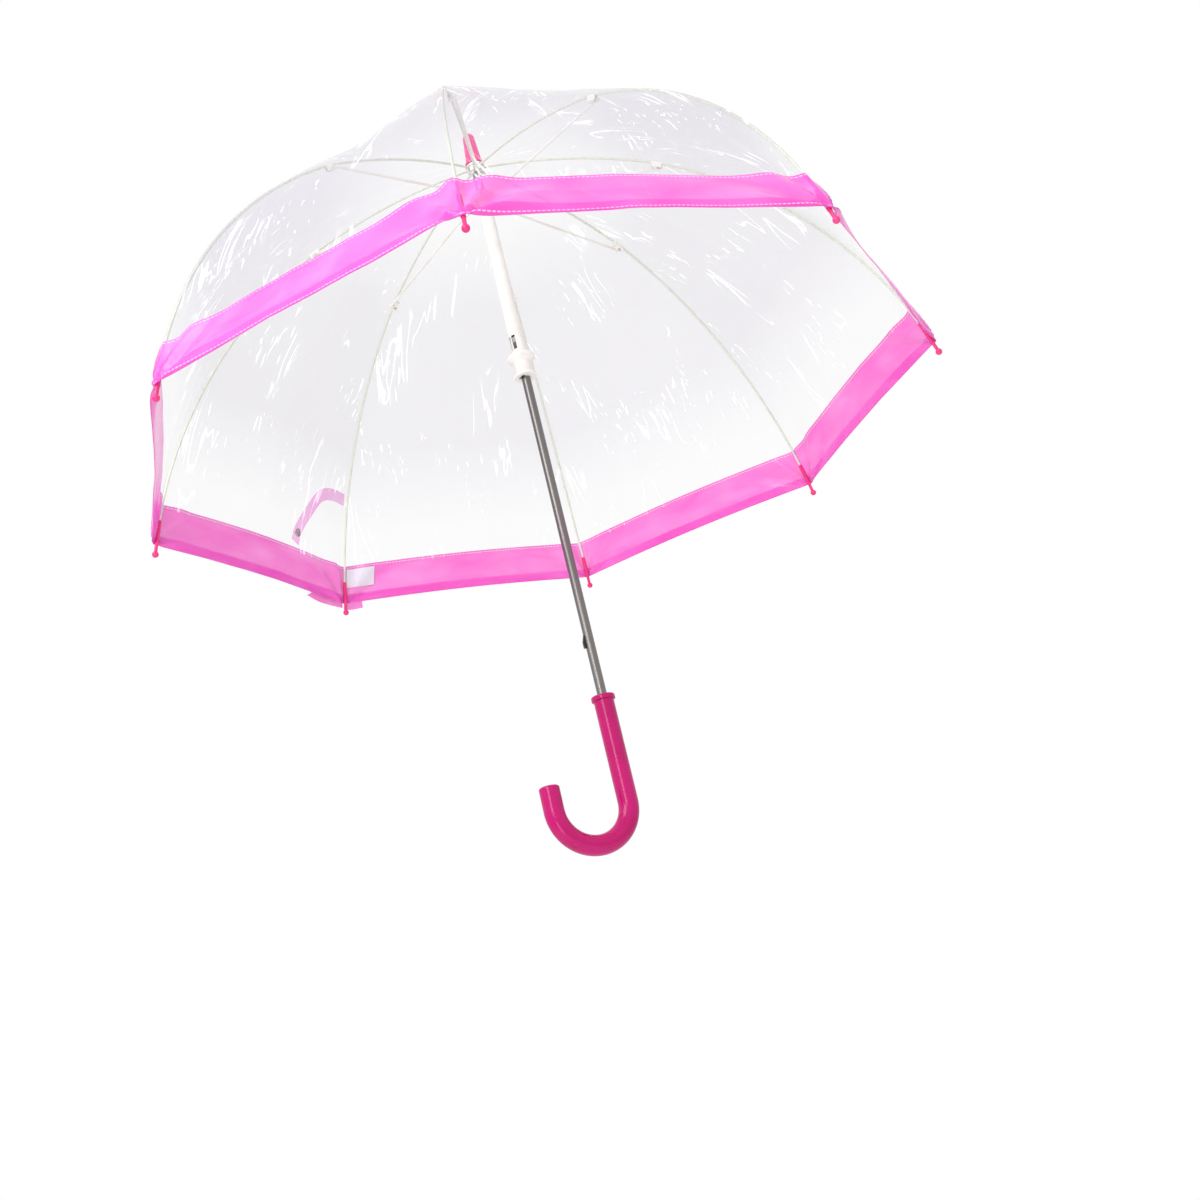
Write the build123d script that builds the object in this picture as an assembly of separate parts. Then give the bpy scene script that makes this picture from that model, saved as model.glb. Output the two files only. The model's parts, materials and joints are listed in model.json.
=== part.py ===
from build123d import *
import os
from math import asin, atan2, cos, degrees, hypot, pi, radians, sin, sqrt

# A child's dome umbrella, open. Millimetres, +Z up along the shaft towards the ferrule.
# The origin is on the shaft's axis, in the middle of the straight grip. The hook opens to +X.

# ---- Driving dimensions ----
# Frame layout, in the plane of one rib: a radius from the shaft's axis and a height.
rib_count = 8
first_rib_angle = 17.7  # degrees round from the hook
crown_z = 571.0  # height of the rib pivots
crown_pivot_radius = 6.5
fork_z = 526.3  # where the stretcher meets the rib
fork_radius = 164.7
tip_z = 268.0  # outer end of a rib tip
dome_radius = 350.0
upper_arch = 7.6  # how far a rib bows between the crown and the fork
lower_arch = 34.0  # and between the fork and its tip
notch_z = 537.0  # height of the stretcher pivots on the runner, open
notch_pivot_radius = 9.0
folded_pin_radius = 11.5  # radius of the fork pins when the umbrella is folded

# Ribs and stretchers
rod_radius = 1.1
eye_radius = 1.5
wire_radius = 0.5
wire_hole_radius = 0.7
flex_gap = 0.8  # between two lengths of one rib
clip_length = 6.0
cheek_length = 3.5
cheek_thickness = 0.8
clip_top = 0.2  # the clip is open along its outer side
clip_depth = 5.2
pin_drop = 3.0  # the stretcher is pinned this far inside the rib
stretcher_eye_radius = 2.0
stretcher_eye_thickness = 2.4
set_start = 7.0  # the stretcher is set over sideways between these distances from the runner
set_end = 30.0
set_bend = 20.0
rivet_radius = 1.2
rivet_height = 0.6

# Rib tips
cap_length = 34.3
neck_length = 11.7  # bare tip beyond the canopy's edge
cap_radius = 1.9
neck_radius = 1.5
neck_taper = 2.0
ball_radius = 2.9

# Canopy
film_thickness = 0.5
band_height = 39.1
film_eye_radius = 5.2
strap_rib = 7
strap_width = 14.0
strap_thickness = 0.8
strap_height = 110.0  # where it leaves the rib, above the tips
strap_start = 2.0  # from the rib
strap_level = 42.0  # its first run, nearly level
strap_sag = 7.0
strap_across = 32.0  # then across and down to the stud
strap_drop = 40.0
strap_past_stud = 5.0
strap_bend = 14.0
tail_height = 9.0
tail_width = 12.0
tail_length = 56.0
stud_radius = 4.0
stud_height = 1.6

# Shaft, crown and ferrule
shaft_radius = 4.0
shaft_wall = 0.7
shaft_in_handle = 14.0
crown_radius = 8.3
crown_below = 5.0
crown_cap = 1.0
ferrule_height = 35.6
ferrule_flare_radius = 9.0
ferrule_base_radius = 7.5
ferrule_end_radius = 5.5
ferrule_flare_height = 1.6
ferrule_step = 3.2
shaft_in_ferrule = 22.0

# Runner
runner_radius = 6.5
runner_bottom = 346.6
runner_above_notch = 4.0
notch_ring_radius = 11.0
notch_ring_below = 4.0
notch_ring_above = 2.4
spool_height = 21.3
spool_top_radius = 12.4
spool_waist_radius = 7.4
spool_bottom_radius = 10.1
spool_flange = 2.6
spool_lower_taper = 5.2  # height where the waist begins, above the bottom
spool_upper_taper = 6.5  # and where it ends, below the top
spool_fillet = 1.0

# Catches
catch_above_spool = 13.0
nose_width = 3.0
nose_length = 11.0
nose_reach = 1.7  # out of the shaft
leaf_length = 30.0
leaf_thickness = 0.5
window_play = 1.5

# Handle
grip_radius = 8.3
grip_above = 44.0
grip_below = 40.0
hook_radius = 31.6
hook_rise = 19.6
collar_radius = 9.9
collar_height = 4.0
handle_fillet = 1.8

# Clearances
moving_gap = 0.3  # between pieces that move past each other
running_fit = 0.06  # radial, runner on shaft
seat_fit = 0.05  # radial, pieces fixed together
film_gap = 0.5

# ---- Derived layout ----
half_gore = 180 / rib_count
gore_scale = cos(radians(half_gore))
runner_top = notch_z + runner_above_notch
spool_top = runner_bottom + spool_height
catch_z = spool_top + catch_above_spool
top_catch_angle = first_rib_angle + half_gore  # between two ribs
bottom_catch_angle = first_rib_angle - half_gore
slot_width = 2 * (rod_radius + moving_gap)
eye_room = eye_radius + moving_gap
clip_half_width = rod_radius + moving_gap + cheek_thickness
stretcher_side = clip_half_width + moving_gap
fork_side = stretcher_side + stretcher_eye_thickness - rod_radius
crown_top = crown_z + eye_room + crown_cap
film_top = crown_top + moving_gap
ferrule_bottom = film_top + film_thickness + moving_gap
shaft_top = ferrule_bottom + shaft_in_ferrule
far = 2 * dome_radius  # longer than any cut
straight_area = 1e-6  # three points whose triangle is smaller lie on a line


class Arc:
    """A circular arc in a rib's plane, from start to end, bowed outwards by arch."""

    def __init__(self, start, end, arch):
        across, up = end[0] - start[0], end[1] - start[1]
        chord = hypot(across, up)
        self.radius = (chord**2 / 4 + arch**2) / (2 * arch)
        self.half_turn = asin(chord / 2 / self.radius)
        self.length = 2 * self.half_turn * self.radius
        self.out = (-up / chord, across / chord)
        self.along = (across / chord, up / chord)
        middle = ((start[0] + end[0]) / 2, (start[1] + end[1]) / 2)
        drop = self.radius - arch
        self.centre = (middle[0] - self.out[0] * drop, middle[1] - self.out[1] * drop)

    def normal(self, distance):
        turn = distance / self.radius - self.half_turn
        return tuple(o * cos(turn) + a * sin(turn) for o, a in zip(self.out, self.along))

    def point(self, distance, offset=0):
        reach = self.radius + offset
        return tuple(c + reach * n for c, n in zip(self.centre, self.normal(distance)))

    def slope(self, distance):
        """Angle of the arc below the horizontal, in degrees."""
        out = self.normal(distance)
        return degrees(atan2(out[0], out[1]))


crown_pivot = (crown_pivot_radius, crown_z)
notch_pivot = (notch_pivot_radius, notch_z)
fork = (fork_radius, fork_z)
upper_arc = Arc(crown_pivot, fork, upper_arch)
lower_arc = Arc(fork, (dome_radius, tip_z), lower_arch)
knee_distance = lower_arc.length / 2
rim_distance = lower_arc.length - neck_length
band_distance = rim_distance - band_height

# The fork pin joins two links, from the crown and from the runner. Folded, both hang by the shaft.
fork_pin = upper_arc.point(upper_arc.length, -pin_drop)
crown_link = hypot(fork_pin[0] - crown_pivot[0], fork_pin[1] - crown_pivot[1])
runner_link = hypot(fork_pin[0] - notch_pivot[0], fork_pin[1] - notch_pivot[1])
folded_pin_z = crown_z - sqrt(crown_link**2 - (folded_pin_radius - crown_pivot_radius) ** 2)
folded_notch_z = folded_pin_z - sqrt(runner_link**2 - (folded_pin_radius - notch_pivot_radius) ** 2)
travel = notch_z - folded_notch_z


# ---- Shape helpers ----
def at(point, side=0):
    """A point of the rib's plane in space, before the rib is turned to its place."""
    return Vector(point[0], side, point[1])


def ring(outer, inner, bottom, top):
    height = top - bottom
    tube = Cylinder(outer, height) - Cylinder(inner, height + 1)
    return Pos(0, 0, (bottom + top) / 2) * tube


def rod(arc, start, end):
    """A round rod along an arc, between two distances from the arc's start."""
    points = [at(arc.point(d)) for d in (start, (start + end) / 2, end)]
    path = Edge.make_three_point_arc(*points)
    section = Plane(points[0], x_dir=(0, 1, 0), z_dir=path.tangent_at(0)) * Circle(rod_radius)
    return sweep(section, path)


def turned(points):
    """A solid of revolution about Z from its outline of radii and heights."""
    outline = Polyline(*[at(p) for p in points], close=True)
    return revolve(make_face(outline), Axis.Z)


def cross_cylinder(point, radius, start, end):
    """A cylinder across a rib's plane, between two sideways places."""
    plane = Plane(at(point, start), x_dir=(1, 0, 0), z_dir=(0, 1, 0))
    return extrude(plane * Circle(radius), end - start)


def save(name, *solids):
    """Write one node, whose solids stay separate."""
    shape = solids[0] if len(solids) == 1 else Compound(children=list(solids))
    export_step(shape, f"parts/{name}.step")


def rib_places():
    for number in range(rib_count):
        yield number + 1, Rot(0, 0, first_rib_angle + number * 360 / rib_count)


# ---- Handle, shaft, crown and ferrule ----
def make_handle():
    grip = Pos(0, 0, (grip_above - grip_below) / 2) * Cylinder(grip_radius, grip_above + grip_below)
    start, end = (0, -grip_below), (2 * hook_radius, -grip_below)
    bend = Edge.make_three_point_arc(at(start), at((hook_radius, -grip_below - hook_radius)), at(end))
    hook = sweep(Plane(at(start), z_dir=(0, 0, -1)) * Circle(grip_radius), bend)
    rise = extrude(Plane(at(end)) * Circle(grip_radius), hook_rise)
    rise = fillet(rise.edges().sort_by(Axis.Z)[-1], handle_fillet)
    collar = Pos(0, 0, grip_above + collar_height / 2) * Cylinder(collar_radius, collar_height)
    collar = fillet(collar.edges().filter_by(GeomType.CIRCLE), handle_fillet / 2)
    socket_height = grip_above + collar_height + shaft_in_handle + seat_fit
    socket = Pos(0, 0, socket_height / 2 - shaft_in_handle - seat_fit)
    return grip + hook + rise + collar - socket * Cylinder(shaft_radius + seat_fit, socket_height)


def catch_slot(angle, z, depth, length):
    """A box from the shaft's axis towards a catch, as wide as its nose and its play."""
    width = nose_width + 2 * moving_gap
    return Rot(0, 0, angle) * Pos(depth / 2, 0, z) * Box(depth, width, length)


def make_shaft():
    tube = ring(shaft_radius, shaft_radius - shaft_wall, -shaft_in_handle, shaft_top)
    for angle, z in ((top_catch_angle, catch_z), (bottom_catch_angle, catch_z - travel)):
        tube -= catch_slot(angle, z, shaft_radius + 1, nose_length + 2 * moving_gap)
    return tube


def make_catch(angle, z, ramp_side):
    """A flat leaf in the shaft with a nose that is flat on one side and ramped on the other."""
    bore_edge = sqrt((shaft_radius - shaft_wall) ** 2 - (nose_width / 2) ** 2)
    leaf_out = bore_edge - moving_gap
    leaf_in = leaf_out - leaf_thickness
    nose_out = shaft_radius + nose_reach
    half = nose_length / 2
    outline = Polyline(
        (leaf_in, 0, z - leaf_length / 2),
        (leaf_out, 0, z - leaf_length / 2),
        (leaf_out, 0, z - half),
        (shaft_radius if ramp_side < 0 else nose_out, 0, z - half),
        (nose_out, 0, z),
        (shaft_radius if ramp_side > 0 else nose_out, 0, z + half),
        (leaf_out, 0, z + half),
        (leaf_out, 0, z + leaf_length / 2),
        (leaf_in, 0, z + leaf_length / 2),
        close=True,
    )
    solid = extrude(make_face(outline), nose_width / 2, dir=(0, 1, 0), both=True)
    return Rot(0, 0, angle) * solid


def make_crown():
    body = ring(crown_radius, shaft_radius + seat_fit, crown_z - crown_below, crown_top)
    groove_half = wire_radius + seat_fit
    groove_in = crown_pivot_radius - groove_half
    body -= ring(crown_radius + 1, groove_in, crown_z - groove_half, crown_z + groove_half)
    slot_in = crown_pivot_radius - eye_room
    slot_bottom = crown_z - crown_below - 1
    slot_height = crown_z + eye_room - slot_bottom
    for _, place in rib_places():
        slot = Box(crown_radius, slot_width, slot_height)
        body -= place * Pos(slot_in + crown_radius / 2, 0, slot_bottom + slot_height / 2) * slot
    return body


def make_ferrule():
    top = ferrule_bottom + ferrule_height
    round_z = top - ferrule_end_radius
    dome_mid = ferrule_end_radius * cos(pi / 4)
    points = [(0, ferrule_bottom), (ferrule_flare_radius, ferrule_bottom)]
    points += [(ferrule_flare_radius, ferrule_bottom + ferrule_flare_height)]
    points += [(ferrule_base_radius, ferrule_bottom + ferrule_step), (ferrule_end_radius, round_z)]
    sides = Polyline(*[at(p) for p in points])
    dome = ThreePointArc(at(points[-1]), at((dome_mid, round_z + dome_mid)), at((0, top)))
    axis = Line(at((0, top)), at((0, ferrule_bottom)))
    body = revolve(make_face(sides + dome + axis), Axis.Z)
    socket = shaft_in_ferrule + seat_fit
    return body - Pos(0, 0, ferrule_bottom + socket / 2) * Cylinder(shaft_radius + seat_fit, socket)


# ---- Runner ----
def make_runner_tube():
    tube = ring(runner_radius, shaft_radius + running_fit, runner_bottom, runner_top)
    length = runner_top - runner_bottom
    groove_out = shaft_radius + nose_reach + moving_gap
    for angle in (top_catch_angle, bottom_catch_angle):
        tube -= catch_slot(angle, (runner_top + runner_bottom) / 2, groove_out, length + 2)
        tube -= catch_slot(angle, catch_z, runner_radius + 1, nose_length + 2 * window_play)
    return tube


def make_runner_notch():
    bottom, top = notch_z - notch_ring_below, notch_z + notch_ring_above
    body = ring(notch_ring_radius, runner_radius + seat_fit, bottom, top)
    groove_half = wire_radius + seat_fit
    groove_in = notch_pivot_radius - groove_half
    body -= ring(notch_ring_radius + 1, groove_in, notch_z - groove_half, notch_z + groove_half)
    slot_in = notch_pivot_radius - eye_room
    slot_bottom = notch_z - eye_room
    slot_height = top + 1 - slot_bottom
    for _, place in rib_places():
        slot = Box(notch_ring_radius, slot_width, slot_height)
        body -= place * Pos(slot_in + notch_ring_radius / 2, 0, slot_bottom + slot_height / 2) * slot
    return body


def make_spool():
    """The hand slide: two flanges and a hollowed waist."""
    inner = runner_radius + seat_fit
    low, high = runner_bottom, spool_top
    points = [(inner, low), (spool_bottom_radius, low), (spool_bottom_radius, low + spool_flange)]
    points += [(spool_waist_radius, low + spool_lower_taper)]
    points += [(spool_waist_radius, high - spool_upper_taper)]
    points += [(spool_top_radius, high - spool_flange), (spool_top_radius, high), (inner, high)]
    body = turned(points)
    circles = body.edges().filter_by(GeomType.CIRCLE)
    rims = [e for e in circles if e.radius > spool_waist_radius + spool_fillet]
    return fillet(rims, spool_fillet)


def make_wire(radius, z):
    return Pos(0, 0, z) * Torus(radius, wire_radius)


# ---- Ribs and stretchers ----
def eye(pivot):
    """A rod's flat eye, bored for the ring wire."""
    return cross_cylinder(pivot, eye_radius, -rod_radius, rod_radius)


def wire_hole(pivot):
    return cross_cylinder(pivot, wire_hole_radius, -far, far)


def make_rib_upper():
    """The first length of a rib and the fork clip on its outer end."""
    length = rod(upper_arc, 0, upper_arc.length - flex_gap / 2)
    length = length + eye(crown_pivot) - wire_hole(crown_pivot)
    frame = Pos(*at(fork)) * Rot(0, upper_arc.slope(upper_arc.length), 0)
    whole = clip_length + cheek_length
    height = clip_top + clip_depth
    block = Pos((cheek_length - clip_length) / 2, 0, clip_top - height / 2)
    clip = frame * block * Box(whole, 2 * clip_half_width, height)
    channel_length = cheek_length + flex_gap + 1
    channel = Pos(cheek_length + 1 - channel_length / 2, 0, 0) * Box(channel_length, slot_width, far)
    clip -= frame * channel
    bore = Rot(0, 90, 0) * Cylinder(rod_radius + seat_fit, far)
    clip -= frame * bore
    return length, clip


def make_rib_middle():
    return rod(lower_arc, flex_gap / 2, knee_distance - flex_gap / 2)


def make_rib_lower():
    return rod(lower_arc, knee_distance + flex_gap / 2, lower_arc.length - ball_radius)


def make_rib_tip():
    """A moulded cap: a sleeve, a narrow neck where the canopy is held, and a ball."""
    start = lower_arc.length - cap_length
    frame = Pos(*at(lower_arc.point(start))) * Rot(0, 90 + lower_arc.slope(start + cap_length / 2), 0)
    neck = cap_length - neck_length
    ball = cap_length - ball_radius
    points = [(0, 0), (cap_radius, 0), (cap_radius, neck - neck_taper), (neck_radius, neck), (neck_radius, ball)]
    points += [(0, ball)]
    cap = frame * (turned(points) + Pos(0, 0, ball) * Sphere(ball_radius))
    stops = (start - 1, start + neck / 2, lower_arc.length - ball_radius + seat_fit)
    bore = [at(lower_arc.point(d)) for d in stops]
    path = Edge.make_three_point_arc(*bore)
    section = Plane(bore[0], x_dir=(0, 1, 0), z_dir=path.tangent_at(0)) * Circle(rod_radius + seat_fit)
    return cap - sweep(section, path)


def make_stretcher():
    """A rod from the runner that is set over beside its rib, with the fork's eye and the rivet's head."""
    start, end = at(notch_pivot), at(fork_pin)
    along = (end - start).normalized()
    aside = Vector(0, fork_side, 0)
    bends = [start, start + along * set_start, start + along * set_end + aside, end + aside]
    path = FilletPolyline(*bends, radius=set_bend)
    strut = sweep(Plane(start, x_dir=(0, 1, 0), z_dir=along) * Circle(rod_radius), path)
    strut += eye(notch_pivot)
    outside = stretcher_side + stretcher_eye_thickness
    strut += cross_cylinder(fork_pin, stretcher_eye_radius, stretcher_side, outside)
    strut -= wire_hole(notch_pivot)
    strut += cross_cylinder(fork_pin, rivet_radius, outside, outside + rivet_height)
    return strut


# ---- Canopy ----
def on_gore(point):
    """A point of the rib's plane carried to the middle of a gore, which is straight from rib to rib."""
    return (point[0] * gore_scale, point[1])


def skin(arc, distance, offset):
    return on_gore(arc.point(distance, offset))


def gore_face(outline_in, outline_out):
    """The section of a strip of canopy, from its inner and outer outlines of lines and arcs."""
    start = Line(at(outline_in[0]), at(outline_out[0]))
    end = Line(at(outline_in[-1]), at(outline_out[-1]))
    edges = [start, end]
    for outline in (outline_in, outline_out):
        for first, middle, last in zip(outline[0::2], outline[1::2], outline[2::2]):
            straight = abs((middle[0] - first[0]) * (last[1] - first[1])
                           - (middle[1] - first[1]) * (last[0] - first[0])) < straight_area
            if straight:
                edges.append(Line(at(first), at(last)))
            else:
                edges.append(ThreePointArc(at(first), at(middle), at(last)))
    return make_face(edges)


def film_outline(lift):
    """Inner outline of the clear film, lifted by a distance: crown, fork, then the band's edge."""
    flat_end = (crown_radius + moving_gap, film_top + lift)
    flat_mid = ((film_eye_radius + flat_end[0]) / 2, film_top + lift)
    near = rod_radius + film_gap + lift
    return [
        (film_eye_radius, film_top + lift),
        flat_mid,
        flat_end,
        skin(upper_arc, upper_arc.length / 2, near + film_gap),
        skin(lower_arc, 0, near),
        skin(lower_arc, band_distance / 2, near),
        skin(lower_arc, band_distance, near + film_gap),
    ]


def band_outline(lift):
    near = rod_radius + film_gap + lift
    rim_near = cap_radius + film_gap + lift
    return [
        skin(lower_arc, band_distance, near + film_gap),
        skin(lower_arc, (band_distance + rim_distance) / 2, (near + film_gap + rim_near) / 2),
        skin(lower_arc, rim_distance, rim_near),
    ]


def half_strip(face, side):
    """From the rib to the middle of the gore on one side of it."""
    strip = extrude(Pos(0, -side * moving_gap / 2, 0) * face, far, dir=(0, -side, 0))
    strip = Rot(0, 0, side * half_gore) * strip
    return strip & Pos(0, side * far / 2, 0) * Box(2 * far, far, 4 * far)


def make_panel():
    solids = []
    for outline in (film_outline, band_outline):
        face = gore_face(outline(0), outline(film_thickness))
        solids.append(half_strip(face, 1) + half_strip(face, -1))
    return solids


def gore_edge(distance):
    """Sideways place of the rib, measured from the middle of its gore."""
    return -lower_arc.point(distance)[0] * sin(radians(half_gore))


def strap_strip(sheet_face, outline):
    """A ribbon cut from a sheet that follows the gore, by its outline of sideways place and height."""
    sheet = extrude(sheet_face, far, dir=(0, -1, 0))
    return sheet & extrude(Plane.YZ * outline, far)


def make_strap():
    """The closing strap lies outside the canopy beside its rib: the stud's length and the loose tail."""
    near = rod_radius + film_gap + film_thickness + moving_gap
    rim_near = cap_radius + film_gap + film_thickness + moving_gap
    film_stations = ((0, near), (band_distance / 2, near), (band_distance, near + film_gap))
    tail_stations = [(rim_distance + d, rim_near) for d in (-strap_width, 0, strap_width)]
    sheets = []
    for stations in (film_stations, tail_stations):
        inner = [skin(lower_arc, d, o) for d, o in stations]
        outer = [skin(lower_arc, d, o + strap_thickness) for d, o in stations]
        sheets.append(gore_face(inner, outer))

    start = Vector(gore_edge(rim_distance - strap_height) + strap_start, tip_z + strap_height)
    corner = start + Vector(strap_level, -strap_sag)
    stud = corner + Vector(strap_across, -strap_drop)
    end = stud + (stud - corner).normalized() * strap_past_stud
    path = FilletPolyline(start, corner, end, radius=strap_bend)
    long_strap = strap_strip(sheets[0], trace(path, strap_width))
    # The stud stands on the strap, square to the dome.
    foot = min(range(int(band_distance)), key=lambda d: abs(lower_arc.point(d)[1] - stud.Y))
    out = lower_arc.normal(foot)
    seat = skin(lower_arc, foot, near + strap_thickness / 2)
    head = Plane((seat[0], stud.X, seat[1]), z_dir=(out[0], 0, out[1])) * Circle(stud_radius)
    long_strap += extrude(head, strap_thickness / 2 + stud_height)

    tail_left = gore_edge(rim_distance) + strap_start
    low, high = tip_z + tail_height - tail_width / 2, tip_z + tail_height + tail_width / 2
    notch = (tail_left + tail_length - tail_width / 2, (low + high) / 2)
    corners = [(tail_left, low), (tail_left + tail_length, low), notch]
    corners += [(tail_left + tail_length, high), (tail_left, high)]
    tail = strap_strip(sheets[1], make_face(Polyline(*corners, close=True)))
    place = Rot(0, 0, half_gore)
    return place * long_strap, place * tail


# ---- Write one file per piece ----
os.makedirs("parts", exist_ok=True)
save("handle", make_handle())
save("shaft", make_shaft())
save("crown", make_crown())
save("crown_wire", make_wire(crown_pivot_radius, crown_z))
save("ferrule", make_ferrule())
save("top_catch", make_catch(top_catch_angle, catch_z, -1))
save("bottom_catch", make_catch(bottom_catch_angle, catch_z - travel, 1))
save("runner_tube", make_runner_tube())
save("runner_notch", make_runner_notch())
save("runner_wire", make_wire(notch_pivot_radius, notch_z))
save("hand_slide", make_spool())

repeated = {
    "rib_upper": make_rib_upper(),
    "rib_middle": [make_rib_middle()],
    "rib_lower": [make_rib_lower()],
    "rib_tip": [make_rib_tip()],
    "stretcher": [make_stretcher()],
    "canopy_panel": make_panel(),
}
strap = make_strap()
for number, place in rib_places():
    for name, solids in repeated.items():
        save(f"{name}_{number}", *[place * solid for solid in solids])
    if number == strap_rib:
        save("closing_strap", *[place * solid for solid in strap])

print(f"travel {travel:.1f}, rib {upper_arc.length + lower_arc.length:.1f}, "
      f"catch heights {catch_z:.1f} and {catch_z - travel:.1f}, top {ferrule_bottom + ferrule_height:.1f}")
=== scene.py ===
# %% [markdown]
# # A child's clear dome umbrella
# The frame of this umbrella, its tubes, rods, catches and handle, comes from a CAD model that is loaded
# first. Everything that a CAD program is bad at is made here: the clear film, the tinted rim band, the
# strap, the sewn label and every material. All lengths are metres, and +Z runs up the shaft.

# %% The frame
import json
from math import atan2, cos, degrees, exp, hypot, pi, radians, sin

import bmesh
import bpy
from mathutils import Euler, Matrix, Vector, noise


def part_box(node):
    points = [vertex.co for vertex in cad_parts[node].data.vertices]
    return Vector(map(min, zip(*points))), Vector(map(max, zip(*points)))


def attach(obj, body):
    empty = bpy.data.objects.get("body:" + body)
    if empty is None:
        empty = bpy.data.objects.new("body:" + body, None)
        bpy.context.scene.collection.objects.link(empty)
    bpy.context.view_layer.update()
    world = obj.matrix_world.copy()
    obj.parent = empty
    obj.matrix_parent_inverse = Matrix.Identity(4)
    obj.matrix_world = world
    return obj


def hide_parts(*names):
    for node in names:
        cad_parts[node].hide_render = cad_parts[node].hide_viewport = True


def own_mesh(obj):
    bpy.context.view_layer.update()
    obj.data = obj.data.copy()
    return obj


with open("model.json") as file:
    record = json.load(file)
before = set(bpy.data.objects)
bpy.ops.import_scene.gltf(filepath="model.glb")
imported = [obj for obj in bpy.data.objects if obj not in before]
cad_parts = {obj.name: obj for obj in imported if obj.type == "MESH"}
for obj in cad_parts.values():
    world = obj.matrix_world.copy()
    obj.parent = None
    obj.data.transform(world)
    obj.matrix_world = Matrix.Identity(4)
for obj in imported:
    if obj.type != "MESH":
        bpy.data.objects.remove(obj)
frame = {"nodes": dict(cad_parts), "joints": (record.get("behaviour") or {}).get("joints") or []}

MM = 0.001
nodes = frame["nodes"]
joints = {joint["name"]: joint for joint in frame["joints"]}
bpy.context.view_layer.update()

# %% [markdown]
# ## Where the ribs are
# A rib is a glass-fibre rod that bends in a flat plane through the shaft. The joints of the frame say
# where its hinge, its fork and its middle are, so the rib's curve is two circular arcs through known
# points. Working out the canopy from the same arcs keeps the film on its ribs whatever their size.

# %% The rib's two arcs
RIB_COUNT = 8
UPPER_BOW = 7.6 * MM  # how far a rib bows between the crown and the fork
ROD_RADIUS = 1.1 * MM


def in_rib_plane(point):
    return Vector((hypot(point[0], point[1]), point[2]))


def joint_place(name):
    return in_rib_plane(joints[name]["pos_m"])


class Arc:
    """The circle through three points of a rib's plane, measured along from the first one."""

    def __init__(self, start, middle, end):
        a, b = middle - start, end - start
        twice = 2 * (a.x * b.y - a.y * b.x)
        centre_x = (b.y * a.length_squared - a.y * b.length_squared) / twice
        centre_y = (a.x * b.length_squared - b.x * a.length_squared) / twice
        self.centre = start + Vector((centre_x, centre_y))
        self.radius = (start - self.centre).length
        self.first = atan2(*(start - self.centre).yx)
        last = atan2(*(end - self.centre).yx)
        self.length = (self.first - last) * self.radius

    def out(self, distance):
        turn = self.first - distance / self.radius
        return Vector((cos(turn), sin(turn)))

    def point(self, distance, lift=0.0):
        return self.centre + self.out(distance) * (self.radius + lift)


crown_pivot = joint_place("rib_hinge_1")
fork = joint_place("fork_flex_1")
knee = joint_place("rib_flex_1")
tip_box = [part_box(f"rib_tip_{n}") for n in range(1, RIB_COUNT + 1)]
TIP_RADIUS, TIP_HEIGHT = 350 * MM, min(low.z for low, high in tip_box)
across_fork = fork - crown_pivot
bow_side = Vector((-across_fork.y, across_fork.x)).normalized()
upper_arc = Arc(crown_pivot, (crown_pivot + fork) / 2 + bow_side * UPPER_BOW, fork)
lower_arc = Arc(fork, knee, Vector((TIP_RADIUS, TIP_HEIGHT)))
rib_angles = [atan2(*joints[f"rib_hinge_{n}"]["pos_m"][1::-1]) for n in range(1, RIB_COUNT + 1)]
HALF_GORE = pi / RIB_COUNT
KNEE_DISTANCE = upper_arc.length + lower_arc.length / 2
FORK_DISTANCE = upper_arc.length
TIP_DISTANCE = upper_arc.length + lower_arc.length
print(f"rib {upper_arc.length:.4f} + {lower_arc.length:.4f} m")
print(f"first rib at {degrees(rib_angles[0]):.1f} degrees")

# %% [markdown]
# ## Colours and materials
# Colours are picked as the sRGB hex codes of a paint program, and the shader wants linear light, so one
# function turns one into the other. Each material is a Principled shader plus a few pattern nodes, and a
# single helper adds a node with its settings and its links. That keeps each recipe short enough to read.

# %% Helpers for materials


def linear(code):
    """An sRGB hex code as linear red, green, blue and alpha."""
    shares = [int(code[i:i + 2], 16) / 255 for i in (1, 3, 5)]
    return tuple(c / 12.92 if c <= 0.04045 else ((c + 0.055) / 1.055) ** 2.4 for c in shares) + (1.0,)


def add_node(tree, kind, settings=None, links=None):
    """Add one node, set its properties, sockets or ramp stops, and link other nodes or sockets into it."""
    made = tree.nodes.new(kind)
    for name, value in (settings or {}).items():
        if name == "stops":
            for place, colour in value[1:-1]:
                made.color_ramp.elements.new(place)
            for element, (place, colour) in zip(made.color_ramp.elements, value):
                element.position, element.color = place, colour
        elif isinstance(name, int) or name in made.inputs:
            made.inputs[name].default_value = value
        else:
            setattr(made, name, value)
    for name, source in (links or {}).items():
        socket = source.outputs[0] if isinstance(source, bpy.types.Node) else source
        tree.links.new(socket, made.inputs[name])
    return made


def new_material(name, **settings):
    """A material with one Principled shader, whose sockets are set by name."""
    made = bpy.data.materials.new(name)
    made.use_nodes = True
    shader = made.node_tree.nodes["Principled BSDF"]
    for socket, value in settings.items():
        shader.inputs[socket.replace("_", " ")].default_value = value
    return made, made.node_tree, shader


def grey(value):
    return (value, value, value, 1.0)


print("pink", [round(c, 3) for c in linear("#D92387")[:3]])

# %% [markdown]
# ## Clear film
# The canopy is calendered soft PVC or POE film, about 0.15 mm thick. It is nearly invisible face on, and
# shows by three things: a faint grey tint, a gloss that grows at grazing angles, and creases from being
# folded. The creases are real, and their white glints are painted highlights, white lines and dashes with a
# painted glow. Transmission through a single sheet would bend light as a solid block does, so the film is
# made of alpha instead: low on the flat, high in a crease and at the rim of the dome. The pattern follows
# the film through its UV map, whose units are metres across and down.

# %% Patterns that run down the canopy


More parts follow.
